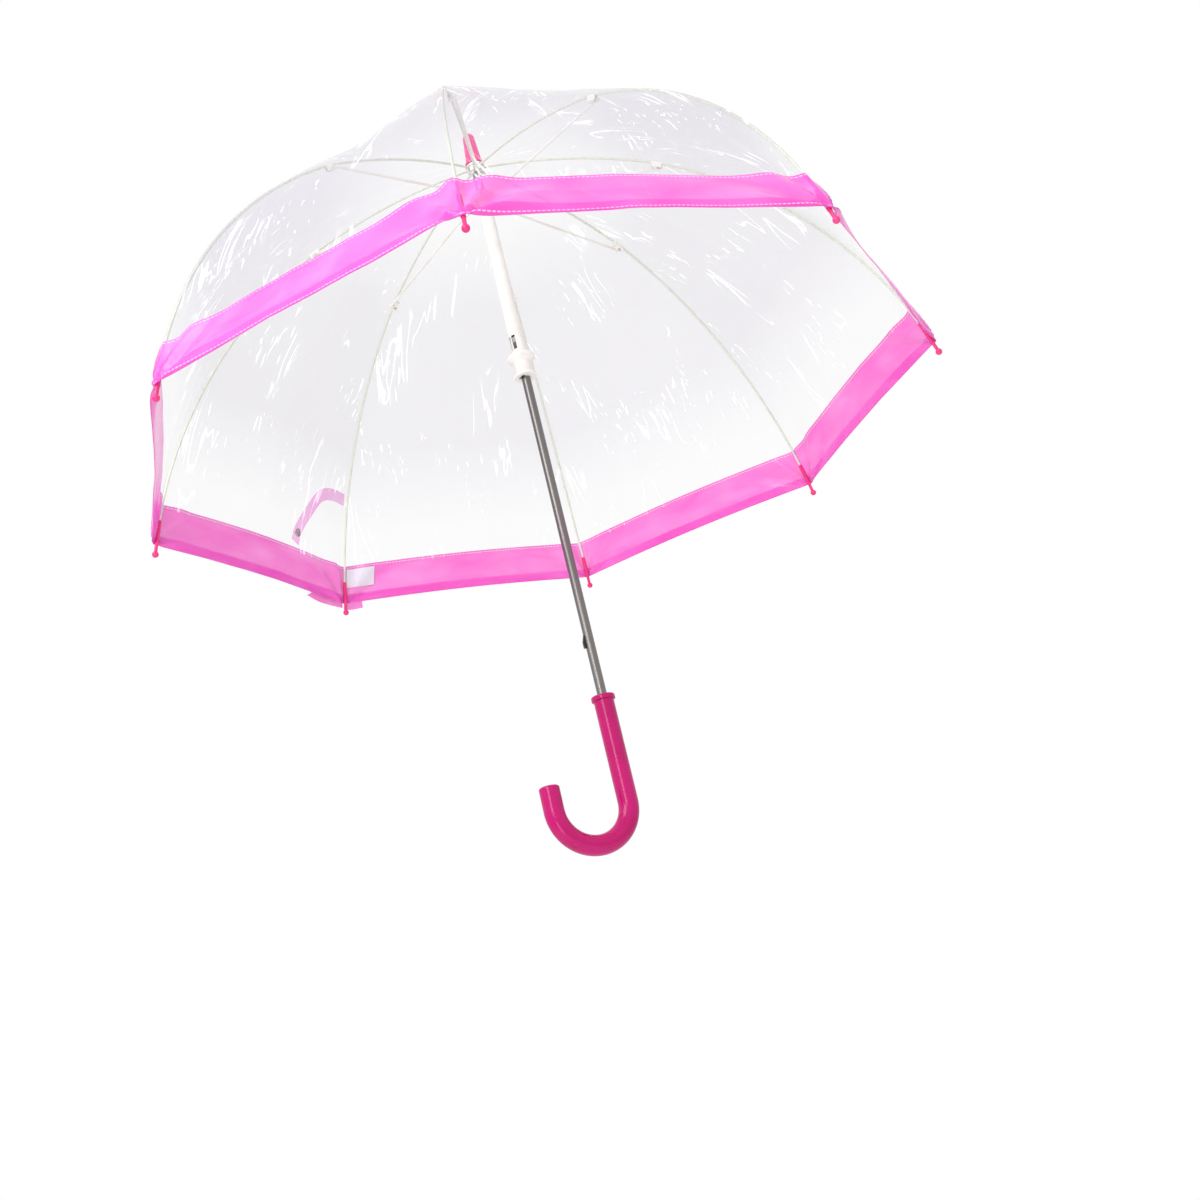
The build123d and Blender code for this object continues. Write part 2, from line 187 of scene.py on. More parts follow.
def stretched_noise(tree, across, down, detail=2.0, offset=(0, 0, 0), distortion=0.0):
    """Noise whose grains are long down the canopy and narrow across it."""
    place = add_node(tree, "ShaderNodeTexCoord").outputs["UV"]
    scaled = add_node(tree, "ShaderNodeMapping", {"Scale": (1 / across, 1 / down, 1), "Location": offset},
                      {"Vector": place})
    return add_node(tree, "ShaderNodeTexNoise", {"Scale": 1.0, "Detail": detail, "Distortion": distortion},
                    {"Vector": scaled.outputs["Vector"]}).outputs["Fac"]


# %% Clear film material
CREASE_ACROSS = 15 * MM  # usual distance between two storage creases
CREASE_LENGTH = 120 * MM
# Glints are painted highlights: short bright dashes where a crease would catch the light.
GLINT_ACROSS = 3.6 * MM  # short bright dashes where a crease catches the light
GLINT_LENGTH = 24 * MM
PLAIN, CREASE_AND_GLINT_LINE = grey(0.0), grey(0.6)
HAZE_LENGTH = 440 * MM  # down the film from the crown to the band


def make_clear_film():
    film, tree, shader = new_material("clear_pvc_film_calendered", Roughness=0.12, IOR=1.5)
    shader.inputs["Specular IOR Level"].default_value = 0.6
    # White emission gives the creases and glints their painted glow.
    shader.inputs["Emission Color"].default_value = (1, 1, 1, 1)
    # A crease is a thin line where a long grain crosses its middle value. Real ones are about 0.4 mm wide,
    # and these are drawn twice that so that they show. Each line is a real crease with a painted glint on
    # it.
    grain = stretched_noise(tree, CREASE_ACROSS, CREASE_LENGTH, detail=2.0, distortion=0.5)
    line_stops = [(0.0, PLAIN), (0.480, PLAIN), (0.495, CREASE_AND_GLINT_LINE), (0.505, CREASE_AND_GLINT_LINE), (0.520, PLAIN),
                  (1.0, PLAIN)]
    lines = add_node(tree, "ShaderNodeValToRGB", {"stops": line_stops}, {"Fac": grain})
    crease_and_glint_patches = add_node(tree, "ShaderNodeMapRange", {"From Min": 0.56, "From Max": 0.74},
                    {"Value": stretched_noise(tree, 55 * MM, 90 * MM, 1.0, (3.7, 1.3, 0))})
    crease_and_glint_lines = add_node(tree, "ShaderNodeMath", {"operation": "MULTIPLY"}, {0: lines, 1: crease_and_glint_patches})
    # Glints are painted highlights, in clusters where the film was pinched.
    dashes = stretched_noise(tree, GLINT_ACROSS, GLINT_LENGTH, 2.0, (7.3, 2.9, 0), distortion=1.2)
    painted_glints = add_node(tree, "ShaderNodeMapRange", {"From Min": 0.655, "From Max": 0.70}, {"Value": dashes})
    pinched = add_node(tree, "ShaderNodeMapRange", {"From Min": 0.55, "From Max": 0.64},
                       {"Value": stretched_noise(tree, 60 * MM, 110 * MM, 1.0, (12.1, 8.3, 0))})
    clusters = add_node(tree, "ShaderNodeMath", {"operation": "MULTIPLY"}, {0: painted_glints, 1: pinched})
    creases_and_painted_glints = add_node(tree, "ShaderNodeMath", {"operation": "MAXIMUM"}, {0: crease_and_glint_lines, 1: clusters})
    # Creases and glints get painted white and a painted glow, so that these painted highlights stay
    # brighter than the film. White and glow reach their full strength while the crease is still thin, or it
    # would have a grey outline.
    white = add_node(tree, "ShaderNodeMapRange", {"From Max": 0.2}, {"Value": creases_and_painted_glints})
    painted_glow = add_node(tree, "ShaderNodeMapRange", {"From Max": 0.2, "To Max": 0.5}, {"Value": creases_and_painted_glints})
    tint = add_node(tree, "ShaderNodeMix",
                    {"data_type": "RGBA", 6: linear("#B8B2C2"), 7: linear("#FFFFFF")}, {0: white})
    # The film is clearest at the crown, greyer and less clear down the sides, and clearer again by the
    # band.
    place = add_node(tree, "ShaderNodeTexCoord").outputs["UV"]
    down = add_node(tree, "ShaderNodeSeparateXYZ", links={"Vector": place})
    haze_amounts = ((0.0, 0.02), (0.18, 0.06), (0.40, 0.24), (0.74, 0.26), (0.94, 0.05))
    haze_stops = [(share, grey(amount)) for share, amount in haze_amounts]
    share_down = add_node(tree, "ShaderNodeMapRange", {"From Max": HAZE_LENGTH},
                          {"Value": down.outputs["Y"]})
    haze = add_node(tree, "ShaderNodeValToRGB", {"stops": haze_stops}, {"Fac": share_down})
    edge = add_node(tree, "ShaderNodeLayerWeight", {"Blend": 0.3})
    rim_haze = add_node(tree, "ShaderNodeMath", {"operation": "MULTIPLY_ADD", 1: 0.14},
                        {0: edge.outputs["Facing"], 2: haze})
    # Creases and painted glints are nearly opaque, so that their painted white shows.
    alpha = add_node(tree, "ShaderNodeMath", {"operation": "MULTIPLY_ADD", 1: 0.85, "use_clamp": True},
                     {0: creases_and_painted_glints, 2: rim_haze})
    bump = add_node(tree, "ShaderNodeBump", {"Strength": 0.14, "Distance": 0.5 * MM}, {"Height": grain})
    tree.links.new(tint.outputs[2], shader.inputs["Base Color"])
    tree.links.new(painted_glow.outputs[0], shader.inputs["Emission Strength"])
    tree.links.new(alpha.outputs[0], shader.inputs["Alpha"])
    tree.links.new(bump.outputs["Normal"], shader.inputs["Normal"])
    return film


clear_film = make_clear_film()
print("made", clear_film.name)

# %% [markdown]
# ## Tinted rim band
# The band is the same soft PVC with a pink dye, welded and stitched to the clear film. Light comes through
# it, so it glows where one layer hangs before the light and deepens where the hem doubles it. Alpha below
# one does both. The stitches along the seam and the hem are drawn by the UV map, as dashes of real length.

# %% Tinted band material
BAND_HEIGHT = 39.1 * MM
STITCH_PITCH = 3.4 * MM
STITCH_GAP = 0.16  # share of the pitch on each side where the thread dips under
SEAM_WIDTH = 4.0 * MM
HEM_STITCH = 2.6 * MM  # above the rim


def stitch_line(tree, along, down, place):
    """Dashes of thread at one distance down the band."""
    near = add_node(tree, "ShaderNodeMath", {"operation": "COMPARE", 1: place, 2: 0.4 * MM}, {0: down})
    beat = add_node(tree, "ShaderNodeMath", {"operation": "PINGPONG", 1: STITCH_PITCH / 2}, {0: along})
    dash = add_node(tree, "ShaderNodeMath", {"operation": "GREATER_THAN", 1: STITCH_PITCH * STITCH_GAP},
                    {0: beat})
    return add_node(tree, "ShaderNodeMath", {"operation": "MULTIPLY"}, {0: near, 1: dash})


def make_tinted_film(name, dyes, thick, thin):
    """Dyed film: three close shades from taut to slack, and how far light is held back in each."""
    band, tree, shader = new_material(name, Roughness=0.2, IOR=1.5)
    shader.inputs["Specular IOR Level"].default_value = 0.4
    slack = stretched_noise(tree, 55 * MM, 22 * MM, 2.0, (1.9, 6.5, 0), 0.4)
    dye_stops = list(zip((0.25, 0.5, 0.75), [linear(dye) for dye in dyes]))
    dye = add_node(tree, "ShaderNodeValToRGB", {"stops": dye_stops}, {"Fac": slack})
    place = add_node(tree, "ShaderNodeTexCoord").outputs["UV"]
    axes = add_node(tree, "ShaderNodeSeparateXYZ", links={"Vector": place})
    along, down = axes.outputs["X"], axes.outputs["Y"]
    seam = stitch_line(tree, along, down, SEAM_WIDTH / 2)
    hem = stitch_line(tree, along, down, BAND_HEIGHT - HEM_STITCH)
    stitches = add_node(tree, "ShaderNodeMath", {"operation": "MAXIMUM"}, {0: seam, 1: hem})
    thread = add_node(tree, "ShaderNodeMath", {"operation": "MULTIPLY", 1: 0.75}, {0: stitches})
    colour = add_node(tree, "ShaderNodeMix", {"data_type": "RGBA", 7: linear("#FFD9F6")},
                      {0: thread, 6: dye})
    alpha = add_node(tree, "ShaderNodeMapRange",
                     {"From Min": 0.3, "From Max": 0.7, "To Min": thick, "To Max": thin}, {"Value": slack})
    # Short puckers cross the seam and the hem, where the thread draws the film in.
    pucker = stretched_noise(tree, 2.2 * MM, 12 * MM, 1.0, (4.4, 0.7, 0))
    height = add_node(tree, "ShaderNodeMath", {"operation": "MULTIPLY_ADD", 1: 0.12}, {0: pucker, 2: slack})
    bump = add_node(tree, "ShaderNodeBump", {"Strength": 0.5, "Distance": 1.2 * MM}, {"Height": height})
    tree.links.new(colour.outputs[2], shader.inputs["Base Color"])
    tree.links.new(alpha.outputs[0], shader.inputs["Alpha"])
    tree.links.new(bump.outputs["Normal"], shader.inputs["Normal"])
    return band


tinted_band = make_tinted_film("tinted_pvc_film_pink", ("#F44CC4", "#F85CCC", "#FC6ED6"), 0.9, 0.83)
strap_film = make_tinted_film("tinted_pvc_film_single_layer", ("#FA70DC", "#FC7CE2", "#FE8AE8"), 0.66, 0.56)
print("made", tinted_band.name, "and", strap_film.name)

# %% [markdown]
# ## Moulded and drawn parts
# The handle, ferrule and rib caps are glossy moulded plastic, the runner is matt white ABS, the ribs are
# pulled glass fibre with a fine grain along the rod, and the shaft is drawn steel tube with a bright plate.
# Each is smooth, so it needs only a little life: a soft unevenness of gloss from handling and a bump as
# fine as the mould's skin. The patterns read Object coordinates, which do not slide when the part moves.

# %% Moulded plastics


def object_noise(tree, size, detail=2.0, stretch=(1, 1, 1)):
    """Noise with grains of a real size, on Object coordinates."""
    place = add_node(tree, "ShaderNodeTexCoord").outputs["Object"]
    scaled = add_node(tree, "ShaderNodeMapping", {"Scale": [s / size for s in stretch]}, {"Vector": place})
    return add_node(tree, "ShaderNodeTexNoise", {"Scale": 1.0, "Detail": detail},
                    {"Vector": scaled.outputs["Vector"]}).outputs["Fac"]


def moulded(name, dark, light, rough, specular=0.5):
    """A moulded plastic: two close shades in soft clouds, and a gloss that handling has made uneven."""
    made, tree, shader = new_material(name, IOR=1.5)
    shader.inputs["Specular IOR Level"].default_value = specular
    shades = add_node(tree, "ShaderNodeValToRGB", {"stops": [(0.35, linear(dark)), (0.65, linear(light))]},
                      {"Fac": object_noise(tree, 22 * MM)})
    gloss = add_node(tree, "ShaderNodeMapRange",
                     {"From Min": 0.3, "From Max": 0.7, "To Min": rough * 0.85, "To Max": rough * 1.25},
                     {"Value": object_noise(tree, 9 * MM)})
    # The mould's skin waves very gently over about 12 mm, which bends the reflections a little.
    skin = add_node(tree, "ShaderNodeBump", {"Strength": 0.03, "Distance": 0.1 * MM},
                    {"Height": object_noise(tree, 12 * MM, detail=1.0)})
    tree.links.new(shades.outputs[0], shader.inputs["Base Color"])
    tree.links.new(gloss.outputs[0], shader.inputs["Roughness"])
    tree.links.new(skin.outputs["Normal"], shader.inputs["Normal"])
    return made


handle_plastic = moulded("gloss_abs_moulded_handle", "#B0035F", "#BA0669", 0.13, 0.32)
ferrule_plastic = moulded("gloss_pp_moulded_ferrule", "#EE1C86", "#F82A92", 0.18)
cap_plastic = moulded("gloss_pe_moulded_rib_cap", "#E4287A", "#F03C8A", 0.22)
white_plastic = moulded("satin_abs_moulded_runner", "#EDEBE4", "#F6F4EE", 0.3)
clip_plastic = moulded("satin_nylon_moulded_clip", "#E6E4DC", "#F1EFE8", 0.4)

# %% Metal and glass fibre


def drawn_metal(name, dark, light, rough, streak):
    """Drawn metal: fine streaks along the tube vary the gloss."""
    made, tree, shader = new_material(name, Metallic=1.0)
    lines = object_noise(tree, streak, detail=1.0, stretch=(1, 1, 0.01))
    shade = add_node(tree, "ShaderNodeValToRGB", {"stops": [(0.3, linear(dark)), (0.7, linear(light))]},
                     {"Fac": lines})
    gloss = add_node(tree, "ShaderNodeMapRange", {"To Min": rough * 0.8, "To Max": rough * 1.25},
                     {"Value": lines})
    tree.links.new(shade.outputs[0], shader.inputs["Base Color"])
    tree.links.new(gloss.outputs[0], shader.inputs["Roughness"])
    return made


CLIP_RADIUS = 158 * MM  # the fork clip lies beyond this distance from the shaft
RESIN_STOPS = [(0.3, linear("#D3D8C9")), (0.7, linear("#E0E4D6"))]


def make_glass_fibre():
    """Pulled glass fibre in cream polyester resin: a satin rod with a faint grain along it."""
    made, tree, shader = new_material("pultruded_glass_fibre_rod", IOR=1.55, Roughness=0.36)
    grain = object_noise(tree, 3 * MM, detail=1.0, stretch=(1, 1, 0.04))
    shade = add_node(tree, "ShaderNodeValToRGB", {"stops": RESIN_STOPS},
                     {"Fac": grain})
    bump = add_node(tree, "ShaderNodeBump", {"Strength": 0.1, "Distance": 0.02 * MM}, {"Height": grain})
    tree.links.new(shade.outputs[0], shader.inputs["Base Color"])
    tree.links.new(bump.outputs["Normal"], shader.inputs["Normal"])
    return made


def make_rib_and_clip():
    """The inner rib ends in a white nylon clip, told from the rod by its distance from the shaft."""
    made, tree, shader = new_material("glass_fibre_rod_in_moulded_nylon_clip", IOR=1.53, Roughness=0.38)
    grain = object_noise(tree, 3 * MM, detail=1.0, stretch=(1, 1, 0.04))
    rod = add_node(tree, "ShaderNodeValToRGB", {"stops": RESIN_STOPS},
                   {"Fac": grain})
    axes = add_node(tree, "ShaderNodeSeparateXYZ",
                    links={"Vector": add_node(tree, "ShaderNodeTexCoord").outputs["Object"]})
    flat = add_node(tree, "ShaderNodeCombineXYZ", links={"X": axes.outputs["X"], "Y": axes.outputs["Y"]})
    radius = add_node(tree, "ShaderNodeVectorMath", {"operation": "LENGTH"}, {0: flat.outputs["Vector"]})
    in_clip = add_node(tree, "ShaderNodeMath", {"operation": "GREATER_THAN", 1: CLIP_RADIUS},
                       {0: radius.outputs["Value"]})
    colour = add_node(tree, "ShaderNodeMix", {"data_type": "RGBA", 7: linear("#F1EFE8")},
                      {0: in_clip, 6: rod})
    bump = add_node(tree, "ShaderNodeBump", {"Strength": 0.1, "Distance": 0.02 * MM}, {"Height": grain})
    tree.links.new(colour.outputs[2], shader.inputs["Base Color"])
    tree.links.new(bump.outputs["Normal"], shader.inputs["Normal"])
    return made


shaft_steel = drawn_metal("nickel_plated_steel_tube_drawn", "#787573", "#878481", 0.3, 3 * MM)
spring_steel = drawn_metal("spring_steel_strip_rolled", "#3A3836", "#4A4846", 0.35, 0.8 * MM)
stud_metal = drawn_metal("nickel_plated_brass_pressed", "#9C9A92", "#C9C7BE", 0.25, 2.0 * MM)
glass_fibre = make_glass_fibre()
rib_and_clip = make_rib_and_clip()
print("made", len(bpy.data.materials), "materials")

# %% [markdown]
# ## Dress the CAD parts
# The moulded and metal parts already have their true shape, so each keeps its CAD mesh and only gets a
# material. Their edges come from the CAD as sharp triangles.

# %% Give each CAD node its material
cad_finish = {
    "handle": handle_plastic,
    "ferrule": ferrule_plastic,
    "shaft": shaft_steel,
    "crown": white_plastic,
    "crown_wire": spring_steel,
    "runner_tube": white_plastic,
    "runner_notch": white_plastic,
    "runner_wire": spring_steel,
    "hand_slide": white_plastic,
    "top_catch": shaft_steel,
    "bottom_catch": spring_steel,
}
for number in range(1, RIB_COUNT + 1):
    cad_finish[f"rib_upper_{number}"] = rib_and_clip
    cad_finish[f"rib_middle_{number}"] = glass_fibre
    cad_finish[f"rib_lower_{number}"] = glass_fibre
    cad_finish[f"stretcher_{number}"] = clip_plastic
    cad_finish[f"rib_tip_{number}"] = cap_plastic
for name, finish in cad_finish.items():
    nodes[name].data.materials.clear()
    nodes[name].data.materials.append(finish)
print("finished", len(cad_finish), "CAD nodes")

# %% [markdown]
# ## The shape of the canopy
# Film pulled over eight ribs lies straight from rib to rib, with a slight sag between them, and its edge
# arches up between the tips. Near the crown it is gathered, and folds radiate from the ferrule. One
# function gives the whole canopy, so that pieces cut from it meet exactly: it takes a rib, a side, how far
# across the half gore and how far down from the crown, and gives the point.

# %% The canopy function
FILM_GAP = 0.5 * MM  # between a rod and the film
BARE_TIP = 11.7 * MM  # of each cap beyond the canopy
HEM_HEIGHT = 9.5 * MM
EDGE_ARCH = 3.0 * MM  # the rim rises this much between two tips
CAP_RADIUS = 1.9 * MM
RIM = TIP_DISTANCE - BARE_TIP
BAND_TOP = RIM - BAND_HEIGHT
CROWN_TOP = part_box("crown")[1].z
PLEAT_REACH, PLEAT_HEIGHT = 22 * MM, 2.4 * MM
UPPER_SAG, RIM_SAG = 6.0 * MM, 0.5 * MM  # the film hangs in between ribs by this much at mid-gore
RIPPLE_HEIGHT, RIPPLE_FADE = 1.3 * MM, 70 * MM  # folds that run down from the gathered crown
BILLOW_HEIGHT, BILLOW_SIZE = 3.0 * MM, 75 * MM
WRINKLE_HEIGHT, WRINKLE_LENGTH = 0.9 * MM, 130 * MM


def ease(share):
    share = min(1.0, max(0.0, share))
    return share * share * (3 - 2 * share)


def lift_off_rib(down):
    """Gap from the rib's centre line to the film: over the crown's rim at the top, over the cap below."""
    base = ROD_RADIUS + FILM_GAP
    over_crown = (CROWN_TOP + FILM_GAP - crown_pivot.y - base) * (1 - ease(down / (70 * MM)))
    over_cap = (CAP_RADIUS - ROD_RADIUS + 0.4 * MM) * ease((down - BAND_TOP) / BAND_HEIGHT)
    return base + over_crown + over_cap


def rib_line(down, lift=0.0):
    """Radius and height of the film over a rib, down from the crown."""
    if down < upper_arc.length:
        return upper_arc.point(down, lift)
    return lower_arc.point(down - upper_arc.length, lift)


def pleat(rib, side, beside, down):
    """Height of the small pleats that fan out from a tip, where the hem is sewn to the cap."""
    above = RIM - down
    reach = hypot(beside, above)
    fan = atan2(beside, max(above, 0.1 * MM))
    fades = reach / PLEAT_REACH * exp(1 - reach / PLEAT_REACH)
    return PLEAT_HEIGHT * fades * sin(9 * fan + rib * 0.9 + side) * min(1.0, beside / (3 * MM))


def canopy_point(rib, side, across, down, lift=0.0):
    """A point of the canopy: across is 0 on the rib and 1 in the middle of the gore on that side."""
    arched = ease((down - FORK_DISTANCE) / (RIM - FORK_DISTANCE)) * EDGE_ARCH
    place = rib_line(down - arched * (1 - (1 - across) ** 2), lift_off_rib(down) + lift)
    gore = rib_angles[rib - 1] + side * HALF_GORE
    flat = place.x * cos(HALF_GORE)
    sideways = -side * place.x * sin(HALF_GORE) * (1 - across)
    # The film sags between its ribs, and ripples run down from the gathered crown.
    loose = sin(across * pi / 2) ** 2
    flat -= loose * (UPPER_SAG * ease(down / FORK_DISTANCE)
                     + (RIM_SAG - UPPER_SAG) * ease((down - FORK_DISTANCE) / (RIM - FORK_DISTANCE)))
    where = Vector((flat * cos(gore) - sideways * sin(gore), flat * sin(gore) + sideways * cos(gore),
                    place.y))
    ripple = RIPPLE_HEIGHT * exp(-down / RIPPLE_FADE) * sin(across * pi) * sin(across * 9 + rib * 1.7)
    billow = BILLOW_HEIGHT * loose * noise.noise(where / BILLOW_SIZE) * ease(down / (60 * MM))
    along_wrinkles = Vector((atan2(where.y, where.x) * 14, down / WRINKLE_LENGTH, 3.1))
    wrinkle = WRINKLE_HEIGHT * loose * noise.noise(along_wrinkles)
    pleated = pleat(rib, side, across * place.x * sin(HALF_GORE), down)
    out = Vector((cos(gore), sin(gore), 0.35)).normalized()
    return where + out * (ripple + billow + wrinkle + pleated)


print(f"band from {BAND_TOP:.4f} to {RIM:.4f} m down the rib")

# %% [markdown]
# ## Cutting the canopy into pieces that ride on the ribs
# Closed, the ribs lie along the shaft and the film between them is gathered. No rigid piece can do that,
# so the canopy is cut in the middle of each gore and at the fork and knee of each rib. Each cut piece
# rides on its own length of rib. At rest the cuts close exactly, and normals taken from the whole surface
# hide them.

# %% Turn a bmesh into a piece


def new_piece(name, mesh, material):
    """Write a bmesh to an object at the origin, with its material."""
    data = bpy.data.meshes.new(name)
    mesh.to_mesh(data)
    mesh.free()
    made = bpy.data.objects.new(name, data)
    bpy.context.scene.collection.objects.link(made)
    data.materials.append(material)
    return made


# %% Build one strip of canopy
ACROSS_STEPS = 24
GORE_SHIFT = 0.4  # metres between the patterns of two gores


def outward_normal(rib, side, across, down, lift):
    """The canopy's own normal at a point, from a small step each way."""
    step_across, step_down = 0.02, 1 * MM
    toward = 1 if across < 0.5 else -1
    here = canopy_point(rib, side, across, down, lift)
    aside = (canopy_point(rib, side, across + toward * step_across, down, lift) - here) * toward
    along = canopy_point(rib, side, across, down + step_down, lift) - here
    normal = along.cross(aside) * side
    return normal.normalized()


def strip(name, rib, side, start, end, steps, material, lift=0.0, fold_at=None):
    """A piece of canopy from one distance down to another. Past fold_at it turns back up inside."""
    mesh = bmesh.new()
    bmesh.ops.create_grid(mesh, x_segments=ACROSS_STEPS, y_segments=steps, size=0.5)
    sheet_map = mesh.loops.layers.uv.new("sheet")
    places = {}
    for vertex in mesh.verts:
        across = (vertex.co.x + 0.5) ** 1.6  # closer together by the rib, where the pleats are
        down = start + (end - start) * (vertex.co.y + 0.5)
        real, raised = down, lift
        if fold_at is not None and down > fold_at:
            real, raised = 2 * fold_at - down, lift - 0.5 * MM
        places[vertex] = (across, real, raised, down)
        vertex.co = canopy_point(rib, side, across, real, raised)
    mesh.normal_update()
    if side > 0:
        bmesh.ops.reverse_faces(mesh, faces=mesh.faces)
    for face in mesh.faces:
        face.smooth = True
        for loop in face.loops:
            across, real, raised, down = places[loop.vert]
            width = rib_line(real).x * sin(HALF_GORE)
            gore = rib if side > 0 else (rib - 2) % RIB_COUNT + 1
            loop[sheet_map].uv = (gore * GORE_SHIFT - side * (1 - across) * width,
                                  down - (BAND_TOP if fold_at else 0.0))
    normals = [outward_normal(rib, side, *places[v][:3]) for v in mesh.verts]
    made = new_piece(name, mesh, material)
    if fold_at is None:
        made.data.normals_split_custom_set_from_vertices(normals)
    return made


# %% Ride each strip on its length of rib
# Each strip: its body, where it starts and ends down the rib, its rows of faces, the ends of the line that
# it gathers onto, and the share of its width that is kept when the umbrella is closed.
CROWN_OVERLAP = 1.3 * MM
tip = rib_line(TIP_DISTANCE)
segments = {
    "film_upper": ("rib_upper", -CROWN_OVERLAP, FORK_DISTANCE, 22, crown_pivot, fork, 0.095),
    "film_middle": ("rib_middle", FORK_DISTANCE, KNEE_DISTANCE, 20, fork, knee, 0.082),
    "film_lower": ("rib_lower", KNEE_DISTANCE, BAND_TOP + SEAM_WIDTH, 14, knee, tip, 0.075),
    "band": ("rib_lower", BAND_TOP, RIM + HEM_HEIGHT, 28, knee, tip, 0.075),
}


def squeeze(piece):
    """Give a strip its own copy of its mesh."""
    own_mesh(piece)


for rib in range(1, RIB_COUNT + 1):
    for side, hand in ((-1, "a"), (1, "b")):
        for name, (body, start, end, steps, first, last, keep) in segments.items():
            is_band = name == "band"
            piece = strip(f"{name}_{rib}{hand}", rib, side, start, end, steps,
                          tinted_band if is_band else clear_film,
                          lift=0.25 * MM if is_band else 0.0, fold_at=RIM if is_band else None)
            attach(piece, f"{body}_{rib}")
            squeeze(piece)
            if name == "film_middle":
                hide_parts(f"canopy_panel_{rib}")
print("canopy of", RIB_COUNT * 2 * len(segments), "strips")

# %% [markdown]
# ## Closing strap, press stud and label
# A ribbon of the band's film closes the folded umbrella with a press stud, and its loose ends hang below
# the rim beside the rib. A small woven label is caught in the band on the other side of the same rib. All
# of them lie on the canopy, so each is a strip whose points are given in the canopy's own two directions,
# sideways from the rib and down, and one function carries it onto the film.

# %% A ribbon laid on the canopy
STRAP_RIB = 7


def down_to_height(height):
    """Distance down a rib at which it reaches a height."""
    low, high = FORK_DISTANCE, TIP_DISTANCE
    for _ in range(40):
        middle = (low + high) / 2
        low, high = (middle, high) if rib_line(middle).y > height else (low, middle)
    return low


def beside_rib(side, sideways, down, lift):
    """A point of the canopy by its distance sideways from the strap's rib."""
    width = rib_line(min(down, RIM)).x * sin(HALF_GORE)
    return canopy_point(STRAP_RIB, side, min(1.0, max(0.0, sideways / width)), down, lift)


def smooth_path(points, steps):
    """Evenly spread points and directions on a soft curve through a few points of a plane."""
    spots = []
    ends = [points[0] * 2 - points[1]] + points + [points[-1] * 2 - points[-2]]
    for a, b, c, d in zip(ends, ends[1:], ends[2:], ends[3:]):
        for i in range(12):
            t = i / 12
            spots.append(0.5 * ((2 * b) + (c - a) * t + (2 * a - 5 * b + 4 * c - d) * t * t
                                + (3 * b - a - 3 * c + d) * t ** 3))
    spots.append(points[-1])
    lengths = [0.0]
    for a, b in zip(spots, spots[1:]):
        lengths.append(lengths[-1] + (b - a).length)
    result = []
    for i in range(steps + 1):
        goal = lengths[-1] * i / steps
        n = max(k for k in range(len(lengths) - 1) if lengths[k] <= goal)
        share = (goal - lengths[n]) / (lengths[n + 1] - lengths[n])
        result.append((spots[n].lerp(spots[n + 1], share), (spots[n + 1] - spots[n]).normalized()))
    return result, lengths[-1]


def ribbon(name, side, points, width, steps, lift, material, notch=0.0, curl=0.0):
    """A flat strip along a path, whose last end is cut to a fish tail by notch."""
    path, length = smooth_path([Vector(p) for p in points], steps)
    mesh = bmesh.new()
    bmesh.ops.create_grid(mesh, x_segments=steps, y_segments=6, size=0.5)
    sheet_map = mesh.loops.layers.uv.new("sheet")
    flat = {}
    for vertex in mesh.verts:
        along, across = vertex.co.x + 0.5, vertex.co.y * width
        spot, heading = path[round(along * steps)]
        cut = notch * along ** 6 * (1 - abs(vertex.co.y) * 2)
        middle = spot - heading * cut + Vector((-heading.y, heading.x)) * across
        raised = lift + curl * sin(along * pi) * (0.4 + vertex.co.y)
        flat[vertex] = (along * length, across + 0.1)
        vertex.co = beside_rib(side, middle.x, middle.y, raised)
    for face in mesh.faces:
        face.smooth = True
        for loop in face.loops:
            loop[sheet_map].uv = flat[loop.vert]
    bmesh.ops.recalc_face_normals(mesh, faces=mesh.faces)
    if sum(face.normal.dot(face.calc_center_median() - Vector((0, 0, 0.3))) for face in mesh.faces) < 0:
        bmesh.ops.reverse_faces(mesh, faces=mesh.faces)
    return new_piece(name, mesh, material), length


def sew_on(piece):
    """A laid piece goes with its rib and gets its own copy of its mesh."""
    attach(piece, f"rib_lower_{STRAP_RIB}")
    squeeze(piece)


# %% The strap's three visible lengths
STRAP_WIDTH, TAIL_WIDTH = 12 * MM, 10.2 * MM
strap_points = [(3 * MM, down_to_height(379 * MM)), (24 * MM, down_to_height(378.5 * MM)),
                (42 * MM, down_to_height(372 * MM)), (58 * MM, down_to_height(353 * MM)),
                (72 * MM, down_to_height(334 * MM)), (77 * MM, down_to_height(322 * MM))]
strap, strap_length = ribbon("closing_strap_long", 1, strap_points, STRAP_WIDTH, 44, 1.4 * MM, strap_film,
                             curl=1.2 * MM)
sew_on(strap)
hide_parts("closing_strap")

tail_points = [(1 * MM, RIM - 2 * MM), (20 * MM, RIM - 0.5 * MM), (38 * MM, RIM), (56 * MM, RIM - 2 * MM)]
tail, tail_length = ribbon("closing_strap_tail", 1, tail_points, TAIL_WIDTH, 30, 2.2 * MM, tinted_band,
                           notch=7 * MM, curl=0.8 * MM)
sew_on(tail)
end_points = [(1 * MM, RIM), (10 * MM, RIM + 1 * MM), (20 * MM, RIM + 0.5 * MM)]
short_end, end_length = ribbon("closing_strap_end", -1, end_points, TAIL_WIDTH, 12, 2.2 * MM, tinted_band,
                               curl=0.8 * MM)
sew_on(short_end)
print(f"strap {strap_length:.3f} m, tail {tail_length:.3f} m, end {end_length:.3f} m")

# %% The press stud
# Half of the cap's outline: distance from its axis and height over the strap, in millimetres.
STUD_OUTLINE = [(0.0, 0.5), (0.9, 0.5), (1.5, 1.1), (2.6, 1.3), (3.6, 1.1), (4.2, 0.5), (4.2, 0.0)]
STUD_LIFT = 1.5 * MM  # from the canopy to the outer face of the strap


